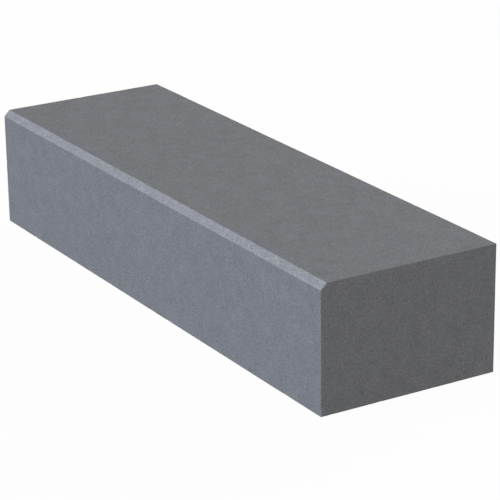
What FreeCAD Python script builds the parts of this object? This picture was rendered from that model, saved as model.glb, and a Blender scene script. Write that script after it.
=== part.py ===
import FreeCAD, Part
import os

# A precast concrete step block, cast solid in one piece.
# Its long front top arris, the nosing, has a 45 degree chamfer, and every other arris is left square,
# softened only by the small radius of the mould's corners.
#
# Frame: the origin is the middle of the underside, +X runs along the step, +Y from the riser to the
# back, and +Z up. All sizes are in millimetres.

# Overall sizes
step_length = 1000.0
tread_depth = 300.0
riser_height = 200.0

# Edges
nosing_chamfer = 10.0
arris_radius = 1.0


def cross_section():
    """The outline across the step: a rectangle whose front top corner is cut off by the chamfer."""
    front = -tread_depth / 2
    back = tread_depth / 2
    outline = [
        (front, 0.0),
        (back, 0.0),
        (back, riser_height),
        (front + nosing_chamfer, riser_height),
        (front, riser_height - nosing_chamfer),
    ]
    corners = [FreeCAD.Vector(-step_length / 2, y, z) for y, z in outline]
    return Part.Face(Part.makePolygon(corners + corners[:1]))


def cast_block():
    """The cross-section carried along the whole length, with the mould's radius on every arris."""
    sharp_block = cross_section().extrude(FreeCAD.Vector(step_length, 0, 0))
    return sharp_block.makeFillet(arris_radius, sharp_block.Edges)


step_block = cast_block()
box = step_block.BoundBox
print(f"step_block: {len(step_block.Solids)} solid, valid {step_block.isValid()}")
print(f"size {box.XLength:.3f} x {box.YLength:.3f} x {box.ZLength:.3f} mm")
print(f"volume {step_block.Volume / 1e9:.6f} cubic metres")

os.makedirs("parts", exist_ok=True)
step_block.exportStep("parts/step_block.step")
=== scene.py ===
# %% [markdown]
# # A precast concrete step block
# The object is one casting of grey concrete: a metre of garden stair with a flat tread, a flat riser and a
# small chamfer along the front top arris, where a sharp corner would soon chip. It is about the plainest
# thing a workshop makes, so everything that makes it look real is small: the radius a mould leaves on an
# arris, faces that are very slightly out of flat, and sand showing through the cement.
# A CAD frame already holds the block at its real size, in metres, standing on z = 0. The lesson loads that
# frame, measures it, and dresses it in a surface worked out with numpy.

import math

import bmesh
import bpy
import numpy as np
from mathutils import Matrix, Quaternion, Vector


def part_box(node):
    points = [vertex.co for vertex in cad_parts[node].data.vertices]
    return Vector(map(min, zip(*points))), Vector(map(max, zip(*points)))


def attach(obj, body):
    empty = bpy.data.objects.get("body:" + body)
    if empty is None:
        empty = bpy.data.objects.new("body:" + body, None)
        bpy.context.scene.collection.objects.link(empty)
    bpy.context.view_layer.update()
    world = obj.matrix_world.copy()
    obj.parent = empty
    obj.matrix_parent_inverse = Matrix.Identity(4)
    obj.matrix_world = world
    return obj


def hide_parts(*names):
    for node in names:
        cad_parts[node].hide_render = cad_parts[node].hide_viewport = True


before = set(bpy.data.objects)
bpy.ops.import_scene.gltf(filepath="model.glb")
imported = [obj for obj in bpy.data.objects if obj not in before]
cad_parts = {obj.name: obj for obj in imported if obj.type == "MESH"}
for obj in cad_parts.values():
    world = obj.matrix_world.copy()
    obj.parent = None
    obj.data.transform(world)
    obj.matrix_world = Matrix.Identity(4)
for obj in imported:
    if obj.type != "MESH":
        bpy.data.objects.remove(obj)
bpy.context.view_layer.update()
low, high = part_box("step_block")
length, depth, height = high - low
centre = (low + high) / 2
print(f"step block: {length:.3f} x {depth:.3f} x {height:.3f} m")

# %% [markdown]
# ## Camera
# A long block seen from its end through a short lens looks like a wedge. A long lens from further back keeps
# its sides nearly parallel, so it reads as square and heavy. The camera is given by a direction round the
# block, a distance, a point to aim at and a slight roll, because those are the things that are changed one
# at a time on a real tripod.

# %% Place the camera
VIEW_AZIMUTH = math.radians(59.01)
VIEW_ELEVATION = math.radians(19.95)
VIEW_ROLL = math.radians(-0.75)
VIEW_DISTANCE = 3.697
AIM_FROM_CENTRE = Vector((0.0259, 0.0226, -0.0290))
LENS_MM = 167.7
SENSOR_MM = 36.0


def direction(azimuth, elevation):
    """Unit vector away from the block: azimuth turns it from the riser's side, -Y, towards +X."""
    level = math.cos(elevation)
    return Vector((math.sin(azimuth) * level, -math.cos(azimuth) * level, math.sin(elevation)))


def place_camera():
    """A camera that looks back along its direction, turned about its own axis by the roll."""
    camera = bpy.data.objects.new("camera", bpy.data.cameras.new("camera"))
    camera.data.lens = LENS_MM
    camera.data.sensor_width = SENSOR_MM
    away = direction(VIEW_AZIMUTH, VIEW_ELEVATION)
    camera.location = centre + AIM_FROM_CENTRE + away * VIEW_DISTANCE
    camera.rotation_mode = "QUATERNION"
    camera.rotation_quaternion = away.to_track_quat("Z", "Y") @ Quaternion((0, 0, 1), VIEW_ROLL)
    bpy.context.scene.collection.objects.link(camera)
    bpy.context.scene.camera = camera
    return camera


camera = place_camera()
print("camera at", [round(x, 3) for x in camera.location])

# %% [markdown]
# ## The cross-section
# Five flat faces run along the block: underside, back, tread, chamfer and riser. Each is described by the
# direction it faces and by how far it lies from the origin, which is all that a flat face needs.
# No cast arris is truly sharp. The simplest way to round every one alike is to think of a core, the same
# outline moved inwards by the radius, and of a ball of that radius rolled round it. The surface is then
# always a point of the core plus the radius times a direction, so one formula serves flats, arrises and
# corners.

# %% Describe the five long faces
NOSING_CHAMFER = 0.010
ARRIS_RADIUS = 0.001

FACING_ANGLES = np.radians([-90.0, 0.0, 90.0, 135.0, 180.0])  # underside, back, tread, chamfer, riser
CHAMFER = 3  # the chamfer's place in that list

facing = np.stack([np.cos(FACING_ANGLES), np.sin(FACING_ANGLES)], axis=1)
face_offsets = np.array([
    -low.z,
    high.y,
    high.z,
    (high.z - NOSING_CHAMFER - low.y) / math.sqrt(2),
    -low.y,
])


def core_corners():
    """Where each long face, moved in by the radius, crosses the next one: two lines solved together."""
    following = np.roll(np.arange(len(facing)), -1)
    lines = np.stack([facing, facing[following]], axis=1)
    reach = np.stack([face_offsets, face_offsets[following]], axis=1) - ARRIS_RADIUS
    return np.linalg.solve(lines, reach[..., None])[..., 0]


corners = core_corners()
print("core corners (mm):", np.round(corners * 1000, 2).tolist())

# %% [markdown]
# ## Steps along the outline
# The surface is drawn as a grid, so the outline needs points: even steps along the flats, a few round each
# arris, and one extra step just inside each end of a flat. That extra step keeps the smooth shading of the
# arris from leaking across the flat face, which is how a simple rounded box gives itself away. Steps of
# 3.6 mm keep the whole block just under two hundred thousand triangles.

# %% Walk round the outline
STEP = 0.00362
END_STEPS = 2  # the extra ones on a flat, one inside each end
ARC_CELLS = 4
CHAMFER_CELLS = 4


def run_steps(run, cells):
    """Distances along a straight run: even steps, with one more an arris radius from either end."""
    return np.sort(np.concatenate([np.linspace(0.0, run, cells + 1), [ARRIS_RADIUS, run - ARRIS_RADIUS]]))


def cell_counts():
    """Even cells on each long face: as many on the riser as on the back, and as many on the tread and the
    chamfer together as on the underside, less the end steps that a second run brings.
    """
    across = round(depth / STEP)
    up = round(height / STEP)
    return [across, up, across - CHAMFER_CELLS - END_STEPS, CHAMFER_CELLS, up]


def side_points(side, cells):
    """Points of the core along one long face, from its first corner to its last."""
    start, end = corners[side - 1], corners[side]
    run = np.linalg.norm(end - start)
    return start + (end - start) * (run_steps(run, cells) / run)[:, None]


def outline():
    """Core points and facing angles once round: along each face at a fixed angle, then round its corner."""
    points, angles = [], []
    turns = np.diff(np.append(FACING_ANGLES, FACING_ANGLES[0] + 2 * math.pi))
    for side, cells in enumerate(cell_counts()):
        along = side_points(side, cells)[1:]
        arc = FACING_ANGLES[side] + turns[side] * np.arange(1, ARC_CELLS + 1) / ARC_CELLS
        points += [along, np.repeat(along[-1:], ARC_CELLS, axis=0)]
        angles += [np.full(len(along), FACING_ANGLES[side]), arc]
    return np.concatenate(points), np.concatenate(angles)


outline_points, outline_angles = outline()
print("points round the outline:", len(outline_points))

# %% [markdown]
# ## Carried along the length
# A block is its cross-section carried along a straight path. Only the two ends need thought: there the
# section has to turn over the end arris. Each station on the path gets a position and a lean, from -90
# degrees at the left end, through 0 all along the middle, to +90 degrees at the right, and the ball's
# direction leans by that much.

# %% Carry the outline along the block
def stations():
    """Core positions along X, and the lean of the surface at each, from one end to the other."""
    run = length - 2 * ARRIS_RADIUS
    straight = low.x + ARRIS_RADIUS + run_steps(run, round(run / STEP))
    rise = np.radians(90.0) * np.arange(ARC_CELLS, 0, -1) / ARC_CELLS
    along = np.concatenate([np.full(ARC_CELLS, straight[0]), straight, np.full(ARC_CELLS, straight[-1])])
    lean = np.concatenate([-rise, np.zeros(len(straight)), rise[::-1]])
    return along, lean


def long_faces():
    """Core point plus the radius times (sine of the lean, cosine of the lean times the facing)."""
    along, lean = stations()
    facing_y, facing_z = np.cos(outline_angles), np.sin(outline_angles)
    ends = along + ARRIS_RADIUS * np.sin(lean)
    x = np.broadcast_to(ends[:, None], (len(along), len(outline_points)))
    y = outline_points[:, 0] + ARRIS_RADIUS * np.outer(np.cos(lean), facing_y)
    z = outline_points[:, 1] + ARRIS_RADIUS * np.outer(np.cos(lean), facing_z)
    return np.stack([x, y, z], axis=2)


sleeve = long_faces()
print("grid of the long faces:", sleeve.shape[0], "by", sleeve.shape[1])

# %% [markdown]
# ## End faces
# The sleeve is still open at both ends. A fan of long triangles would close it, but it would not bend or
# shade evenly. A Coons patch fills a four-sided outline with a grid instead: it blends the top and bottom
# curves, adds the blend of the left and right curves, and takes away the blend of the four corners, which
# was counted twice. The section has five sides, so the chamfer and the tread together make the patch's top.

# %% Fill the end faces
def coons_patch(bottom, top, left, right):
    """Bottom to top, plus left to right, minus the corners' blend. Facing curves run the same way."""
    u = np.linspace(0.0, 1.0, len(bottom))[:, None, None]
    v = np.linspace(0.0, 1.0, len(left))[None, :, None]
    across = (1 - v) * bottom[:, None] + v * top[:, None]
    upward = (1 - u) * left[None] + u * right[None]
    square = (1 - u) * ((1 - v) * bottom[0] + v * top[0]) + u * ((1 - v) * bottom[-1] + v * top[-1])
    return across + upward - square


def end_face(x):
    """The flat end at x: the core's outline, filled from riser to back and from underside to tread."""
    underside, back, tread, chamfer, riser = [side_points(k, n) for k, n in enumerate(cell_counts())]
    over = np.concatenate([chamfer[::-1], tread[::-1][1:]])
    flat = coons_patch(underside, over, riser[::-1], back)
    return np.concatenate([np.full(flat.shape[:2] + (1,), x), flat], axis=2)


left_end, right_end = end_face(low.x), end_face(high.x)
print("grid of each end face:", right_end.shape[0], "by", right_end.shape[1])

# %% [markdown]
# ## Faces for the grids
# A grid of points becomes a surface when each cell names its four corners. The points are numbered in order,
# so the corners of every cell come from the same table of numbers, cut four ways. The sleeve is a ring, and
# its last column of cells goes back to the first column of points.

# %% Join the grids
def grid_faces(rows, columns, first, closed=False):
    """Four corner numbers for each cell of a grid of points whose numbers start at first."""
    numbers = first + np.arange(rows * columns).reshape(rows, columns)
    if closed:
        numbers = np.concatenate([numbers, numbers[:, :1]], axis=1)
    ring = [numbers[:-1, :-1], numbers[:-1, 1:], numbers[1:, 1:], numbers[1:, :-1]]
    return np.stack(ring, axis=2).reshape(-1, 4)


def join_grids():
    """All points and faces together. The right end's grid runs the other way, so its faces are turned."""
    grids = [sleeve, left_end, right_end]
    starts = np.cumsum([0] + [g.shape[0] * g.shape[1] for g in grids])
    faces = [
        grid_faces(*sleeve.shape[:2], starts[0], closed=True),
        grid_faces(*left_end.shape[:2], starts[1]),
        grid_faces(*right_end.shape[:2], starts[2])[:, ::-1],
    ]
    return np.concatenate([g.reshape(-1, 3) for g in grids]), np.concatenate(faces)


skin_points, skin_faces = join_grids()
print(len(skin_points), "points and", len(skin_faces), "faces, with the borders still doubled")

# %% [markdown]
# ## One closed skin
# The three grids share their borders, so once they are in one mesh and the doubled points are merged the
# skin is watertight. Its signed volume is a quick test of both things that go wrong here: an open seam or a
# face turned inside out would give a volume that has nothing to do with length times depth times height.

# %% Close the skin
MERGE_DISTANCE = 1e-6


def closed_mesh(name, points, faces):
    """A mesh with doubled points merged, faces pointing outwards and smooth shading."""
    mesh = bpy.data.meshes.new(name)
    mesh.from_pydata(points, [], faces)
    skin = bmesh.new()
    skin.from_mesh(mesh)
    bmesh.ops.remove_doubles(skin, verts=skin.verts, dist=MERGE_DISTANCE)
    bmesh.ops.recalc_face_normals(skin, faces=skin.faces)
    open_edges = sum(1 for edge in skin.edges if len(edge.link_faces) != 2)
    print(f"{name}: {len(skin.faces)} faces, {open_edges} open edges")
    print(f"volume: {skin.calc_volume(signed=True):.5f} m3, and the box's {length * depth * height:.5f} m3")
    skin.to_mesh(mesh)
    skin.free()
    mesh.polygons.foreach_set("use_smooth", np.ones(len(mesh.polygons), bool))
    return mesh


block_mesh = closed_mesh("cast_concrete_step", skin_points, skin_faces)

# %% [markdown]
# ## A smooth random field
# Uneven surfaces need a random number at every point that changes smoothly from one point to the next. A
# noise texture could give it, but a sum of plane waves in random directions is shorter to write and works on
# whole arrays. It exists everywhere in space, so it runs over arrises and seams without a break.

# %% Add up waves
WAVES = 48
WAVELENGTH_RANGE = (0.7, 1.3)


def wave_field(points, wavelength, seed):
    """Many cosine waves added up, each with its own heading, length and phase, scaled to a spread of one."""
    draw = np.random.default_rng(seed)
    heading = draw.normal(size=(WAVES, 3))
    heading /= np.linalg.norm(heading, axis=1, keepdims=True)
    wave_number = 2 * math.pi / (wavelength * draw.uniform(*WAVELENGTH_RANGE, WAVES))
    phase = draw.uniform(0.0, 2 * math.pi, WAVES)
    return math.sqrt(2 / WAVES) * np.cos(points @ (heading * wave_number[:, None]).T + phase).sum(axis=1)


print(WAVES, "waves in each field, from", WAVELENGTH_RANGE, "times its wavelength")

# %% [markdown]
# ## Slightly out of flat
# A steel mould bows a little under wet concrete, and the cement shrinks a little as it cures, so a cast face
# is never optically flat. The faces here lie up to three tenths of a millimetre inside the true block, and
# the arrises a little deeper where a grain of sand has gone. The relief only ever takes material away, so
# the skin stays inside the block's true size.

# %% Press the relief into the skin
RELIEF = [(0.190, 0.00004, 11), (0.045, 0.00001, 12), (0.016, 0.000005, 13)]  # wavelength, spread, seed
WEAR_WAVELENGTH = 0.017
WEAR_SEED = 14
WEAR_REACH = 0.0025
WEAR_DEPTH = 0.00022
WEAR_THRESHOLD = 1.0


def arris_nearness(points):
    """One on an arris, falling to nought at the wear's reach by a smoothstep, three squares less two cubes.

    It goes by the depth below the second nearest face, which is nought only on an arris.
    """
    long_depths = face_offsets - points[:, 1:] @ facing.T
    end_depths = np.stack([points[:, 0] - low.x, high.x - points[:, 0]], axis=1)
    second = np.sort(np.concatenate([long_depths, end_depths], axis=1), axis=1)[:, 1]
    nearness = np.clip(1 - second / WEAR_REACH, 0.0, 1.0)
    return nearness * nearness * (3 - 2 * nearness)


def press_relief(mesh):
    """Moves every point inwards along its normal by the face relief and, near an arris, by the wear."""
    points, normals = np.empty((2, len(mesh.vertices), 3), np.float32)
    mesh.vertices.foreach_get("co", points.ravel())
    mesh.vertex_normals.foreach_get("vector", normals.ravel())
    waviness = sum(spread * wave_field(points, wavelength, seed) for wavelength, spread, seed in RELIEF)
    chipping = np.clip(wave_field(points, WEAR_WAVELENGTH, WEAR_SEED) - WEAR_THRESHOLD, 0.0, None)
    inwards = waviness.max() - waviness + WEAR_DEPTH * chipping * arris_nearness(points)
    mesh.vertices.foreach_set("co", (points - normals * inwards[:, None]).astype(np.float32).ravel())
    mesh.update()
    return inwards


pressed = press_relief(block_mesh)
print(f"relief: {pressed.mean() * 1000:.3f} mm deep on average, {pressed.max() * 1000:.3f} mm at most")

# %% [markdown]
# ## Into the frame
# The finished skin stands for the plain CAD solid. It sits at the origin with its place in its mesh and
# rides on the frame's one body.

# %% Hand the skin to the frame
step_block = bpy.data.objects.new("cast_concrete_step", block_mesh)
bpy.context.scene.collection.objects.link(step_block)
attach(step_block, "root")
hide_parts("step_block")
print("piece:", step_block.name, "with", len(block_mesh.polygons), "faces")

# %% [markdown]
# ## Nodes in one line each
# A node material is a long list of small decisions. A helper that adds a node, sets it up and plugs it in
# keeps each decision on one line, and two smaller ones do the same for sums and for noise.

# %% Helpers for nodes
NOISE_DETAIL = 1.0
NOISE_ROUGHNESS = 0.55


def add(tree, kind, inputs=(), **settings):
    """Adds a shader node. Inputs pair a name or number with a value or socket; settings are properties."""
    node = tree.nodes.new("ShaderNode" + kind)
    for name, value in settings.items():
        setattr(node, name, value)
    for name, value in inputs:
        if isinstance(value, bpy.types.NodeSocket):
            tree.links.new(value, node.inputs[name])
        else:
            node.inputs[name].default_value = value
    return node


def maths(tree, operation, *values, **settings):
    """The result of one operation on two or three numbers or sockets."""
    return add(tree, "Math", enumerate(values), operation=operation, **settings).outputs[0]


def noise(tree, place, size):
    """Cloudy noise about one half, whose soft patches are about size across."""
    look = [("Detail", NOISE_DETAIL), ("Roughness", NOISE_ROUGHNESS)]
    return add(tree, "TexNoise", [("Vector", place), ("Scale", 1 / size)] + look).outputs["Fac"]


print("node helpers ready: add, maths and noise")

# %% [markdown]
# ## The paler nosing
# The chamfer is painted a shade lighter than the faces beside it, with its sand showing more. This is a
# painted highlight, standing in for more light falling on the one face that looks up and forwards. The
# change goes by the way the surface faces rather than by its place: the chamfer is the only face that looks
# up and forwards, so a mask made from the normal follows its two arrises exactly, however uneven they are.

# %% Mark the nosing's painted highlight
# Painted highlight: the chamfer's colour is multiplied by this, standing in for more light falling on it.
NOSING_HIGHLIGHT = 1.37
NOSING_TURN_NONE = math.radians(30.0)
NOSING_TURN_FULL = math.radians(15.0)


def nosing_highlight(tree, normal):
    """The chamfer's painted highlight: the highlight factor where the surface is turned less than the full
    turn from the chamfer, one past the other.

    The likeness is the dot product of the two directions, which is the cosine of the turn between them.
    """
    outward = (0.0, *facing[CHAMFER])
    parts = [(0, normal), (1, outward)]
    likeness = add(tree, "VectorMath", parts, operation="DOT_PRODUCT").outputs["Value"]
    turns = [("From Min", math.cos(NOSING_TURN_NONE)), ("From Max", math.cos(NOSING_TURN_FULL))]
    factors = [("To Min", 1.0), ("To Max", NOSING_HIGHLIGHT)]
    fade = add(tree, "MapRange", [("Value", likeness)] + turns + factors, interpolation_type="SMOOTHSTEP")
    return fade.outputs["Result"]


print(f"nosing {NOSING_HIGHLIGHT} times as light as the faces beside it")

# %% [markdown]
# ## The tone of the concrete
# Grey concrete is cement paste with sand in it, and from a few metres the eye sees three things: an even,
# slightly blue grey, a fine sandy speckle, and soft mottling where the paste dried a little faster. Voronoi
# cells make good sand, because each cell is one grain with a tone of its own. Left as they come, light and
# dark grains would be as common as middling ones, which looks like terrazzo, so the tones are first pushed
# towards the middle. Everything is read from object coordinates, so the pattern is cut through the solid and
# runs over its arrises.

# %% Add up the tone
MIDDLE_TONE = 0.5  # the tone of the mean grey
GRAIN_SIZE = 0.0017
GRAIN_TONE = 0.85
GRAIN_EVEN = 0.17
GRAIN_STEEP = 2.4
PASTE_SIZE = 0.0012
PASTE_TONE = 0.2
MOTTLE_SIZE = 0.024
MOTTLE_TONE = 0.165


def stand_out(tree, tone):
    """The middle plus x times (even plus steep times x squared), where x is the tone less the middle."""
    x = maths(tree, "SUBTRACT", tone, MIDDLE_TONE)
    square = maths(tree, "MULTIPLY", x, x)
    slope = maths(tree, "MULTIPLY_ADD", square, GRAIN_STEEP, GRAIN_EVEN)
    return maths(tree, "MULTIPLY_ADD", x, slope, MIDDLE_TONE)


def add_tone(tree, tone, part, share):
    """The tone so far plus a part's difference from the middle, times its share."""
    difference = maths(tree, "SUBTRACT", part, MIDDLE_TONE)
    return maths(tree, "MULTIPLY_ADD", difference, share, tone)


def concrete_tone(tree, place, grains, nosing):
    """A number about the middle: grains of sand, the paste between them and the mottling, added up.

    The grains' share is multiplied by the nosing's painted highlight factor, so they show more there.
    """
    share = maths(tree, "MULTIPLY", nosing, GRAIN_TONE)
    tone = add_tone(tree, MIDDLE_TONE, stand_out(tree, grains.outputs["Color"]), share)
    tone = add_tone(tree, tone, noise(tree, place, PASTE_SIZE), PASTE_TONE)
    return add_tone(tree, tone, noise(tree, place, MOTTLE_SIZE), MOTTLE_TONE)


print(f"sand grains {GRAIN_SIZE * 1000} mm across, mottling {MOTTLE_SIZE * 1000:.0f} mm")

# %% [markdown]
# ## The concrete itself
# The tone picks a grey from a ramp, and the nosing's painted highlight scales it. That highlight is a factor
# standing in for more light on the chamfer. Bare cement scatters light almost evenly, so it is very rough
# and hardly glossy, and the darker, wetter-looking grains are the roughest. The distance from the middle of
# each Voronoi cell gives every grain a low dome for the bump: it is far too fine to model, and it is what
# breaks up the light at a glancing angle.

# %% Mix the concrete
GREY_DARK = (0.068, 0.070, 0.077, 1.0)
GREY_MEAN = (0.190, 0.195, 0.210, 1.0)
GREY_LIGHT = (0.316, 0.320, 0.339, 1.0)
ROUGHNESS_DARK = 0.98
ROUGHNESS_LIGHT = 0.82
GRAIN_HEIGHT = 0.0002
GLOSS = 0.15


def grey_ramp(tree, tone):
    """The dark grey at nought, the mean grey at the middle tone and the light grey at one."""
    ramp = add(tree, "ValToRGB", [("Fac", tone)])
    ramp.color_ramp.elements[0].color = GREY_DARK
    ramp.color_ramp.elements[1].color = GREY_LIGHT
    ramp.color_ramp.elements.new(MIDDLE_TONE).color = GREY_MEAN
    return ramp.outputs["Color"]


def concrete_material():
    """Sandy grey concrete: the colour is the ramp's grey times the nosing's painted highlight factor, which
    paints the chamfer lighter as though more light fell on it.
    """
    material = bpy.data.materials.new("cast_concrete")
    material.use_nodes = True
    tree = material.node_tree
    surface = tree.nodes["Principled BSDF"]
    coordinates = add(tree, "TexCoord").outputs
    place = coordinates["Object"]
    grains = add(tree, "TexVoronoi", [("Vector", place), ("Scale", 1 / GRAIN_SIZE)])
    nosing = nosing_highlight(tree, coordinates["Normal"])
    tone = concrete_tone(tree, place, grains, nosing)
    # Painted highlight: the ramp's grey is scaled up on the chamfer, as though more light fell there.
    colour = add(tree, "VectorMath", [(0, grey_ramp(tree, tone)), ("Scale", nosing)], operation="SCALE")
    rough = add(tree, "MapRange", [("Value", tone), ("To Min", ROUGHNESS_DARK), ("To Max", ROUGHNESS_LIGHT)])
    domes = [("Height", grains.outputs["Distance"]), ("Distance", GRAIN_HEIGHT)]
    bump = add(tree, "Bump", domes, invert=True)
    tree.links.new(colour.outputs["Vector"], surface.inputs["Base Color"])
    tree.links.new(rough.outputs["Result"], surface.inputs["Roughness"])
    tree.links.new(bump.outputs["Normal"], surface.inputs["Normal"])
    surface.inputs["Specular IOR Level"].default_value = GLOSS
    return material


block_mesh.materials.append(concrete_material())
print("materials on the block:", [m.name for m in block_mesh.materials])

# %% [markdown]
# ## The floor
# The block stands on a plain white ground. Making the floor white with more light would burn out the block,
# so the floor mixes a white glow into what the camera sees of it, and keeps a small share of ordinary matt
# paint, which takes the block's soft shadow. To the light that bounces about, the floor is a quiet grey.

# %% Lay the floor
WHITE = (1.0, 1.0, 1.0, 1.0)
FLOOR_SIZE = 40.0
FLOOR_BOUNCE = (0.25, 0.25, 0.25, 1.0)
FLOOR_GLOW = 0.94


def is_seen(tree):
    """One for a ray from the camera, in a reflection or through glass, and nought for bounced light."""
    rays = add(tree, "LightPath").outputs
    seen = maths(tree, "ADD", rays["Is Camera Ray"], rays["Is Glossy Ray"])
    return maths(tree, "ADD", seen, rays["Is Transmission Ray"], use_clamp=True)


def floor_material():
    """White glow over white paint where it is looked at, and quiet grey paint for bounced light."""
    material = bpy.data.materials.new("studio_floor")
    material.use_nodes = True
    tree = material.node_tree
    tree.nodes.clear()
    paint = add(tree, "BsdfDiffuse", [("Color", WHITE)]).outputs[0]
    glow = add(tree, "Emission", [("Color", WHITE), ("Strength", 1.0)]).outputs[0]
    bounce = add(tree, "BsdfDiffuse", [("Color", FLOOR_BOUNCE)]).outputs[0]
    shown = add(tree, "MixShader", [(0, FLOOR_GLOW), (1, paint), (2, glow)]).outputs[0]
    both = add(tree, "MixShader", [(0, is_seen(tree)), (1, bounce), (2, shown)]).outputs[0]
    add(tree, "OutputMaterial", [("Surface", both)])
    return material


def lay_floor():
    """One square of floor under the block, centred on the origin."""
    half = FLOOR_SIZE / 2
    mesh = bpy.data.meshes.new("floor")
    square = [(-half, -half, low.z), (half, -half, low.z), (half, half, low.z), (-half, half, low.z)]
    mesh.from_pydata(square, [], [(0, 1, 2, 3)])
    mesh.materials.append(floor_material())
    floor = bpy.data.objects.new("floor", mesh)
    bpy.context.scene.collection.objects.link(floor)


lay_floor()
print("floor:", FLOOR_SIZE, "m square")

# %% [markdown]
# ## The surroundings
# The same trick serves the world: white where it is looked at, so that the ground fades into it, and a low
# grey for the light that it sheds, so that the block keeps its own greys.

# %% Set the surroundings
AMBIENT = (0.25, 0.25, 0.25, 1.0)


def set_world():
    """White where it is looked at, and a low even light for everything else."""
    world = bpy.data.worlds.new("studio")
    bpy.context.scene.world = world
    world.use_nodes = True
    tree = world.node_tree
    tree.nodes.clear()
    ambient = add(tree, "Background", [("Color", AMBIENT)]).outputs[0]
    white = add(tree, "Background", [("Color", WHITE)]).outputs[0]
    both = add(tree, "MixShader", [(0, is_seen(tree)), (1, ambient), (2, white)]).outputs[0]
    add(tree, "OutputWorld", [("Surface", both)])


set_world()
print("ambient light:", AMBIENT[:3])

# %% [markdown]
# ## Lights
# Three very large, distant soft lights. A near lamp would shade a metre-long face from end to end, and the
# faces here are even, so each light is a sun with a wide disc. The key comes from high on the right, a low
# cool light fills the riser from the front without tinting the tread much, and another low one behind keeps
# the back and the left end from going dark.

# %% Hang the lights
LIGHTS = {  # where (azimuth and elevation, degrees), strength, colour, width of the disc (degrees)
    "key": ((42.0, 39.0), 2.10, (1.0, 0.99, 0.95), 40.0),
    "cool_front": ((-30.0, 8.0), 2.14, (0.71, 0.80, 1.0), 24.0),
    "back_fill": ((205.0, 8.0), 1.80, (1.0, 1.0, 1.0), 30.0),
}


def hang_light(name, where, strength, colour, disc):
    """A sun in that direction from the block, shining back along it."""
    lamp = bpy.data.lights.new(name, "SUN")
    lamp.energy = strength
    lamp.color = colour
    lamp.angle = math.radians(disc)
    light = bpy.data.objects.new(name, lamp)
    light.rotation_mode = "QUATERNION"
    light.rotation_quaternion = direction(*map(math.radians, where)).to_track_quat("Z", "Y")
    bpy.context.scene.collection.objects.link(light)


for name, values in LIGHTS.items():
    hang_light(name, *values)
print("lights:", list(LIGHTS))

# %% [markdown]
# ## Finish
# The picture is shown as it is lit, with the plain Standard view. The skin has to stay inside the CAD
# solid that it stands for.

# %% Finish
bpy.context.scene.view_settings.view_transform = "Standard"
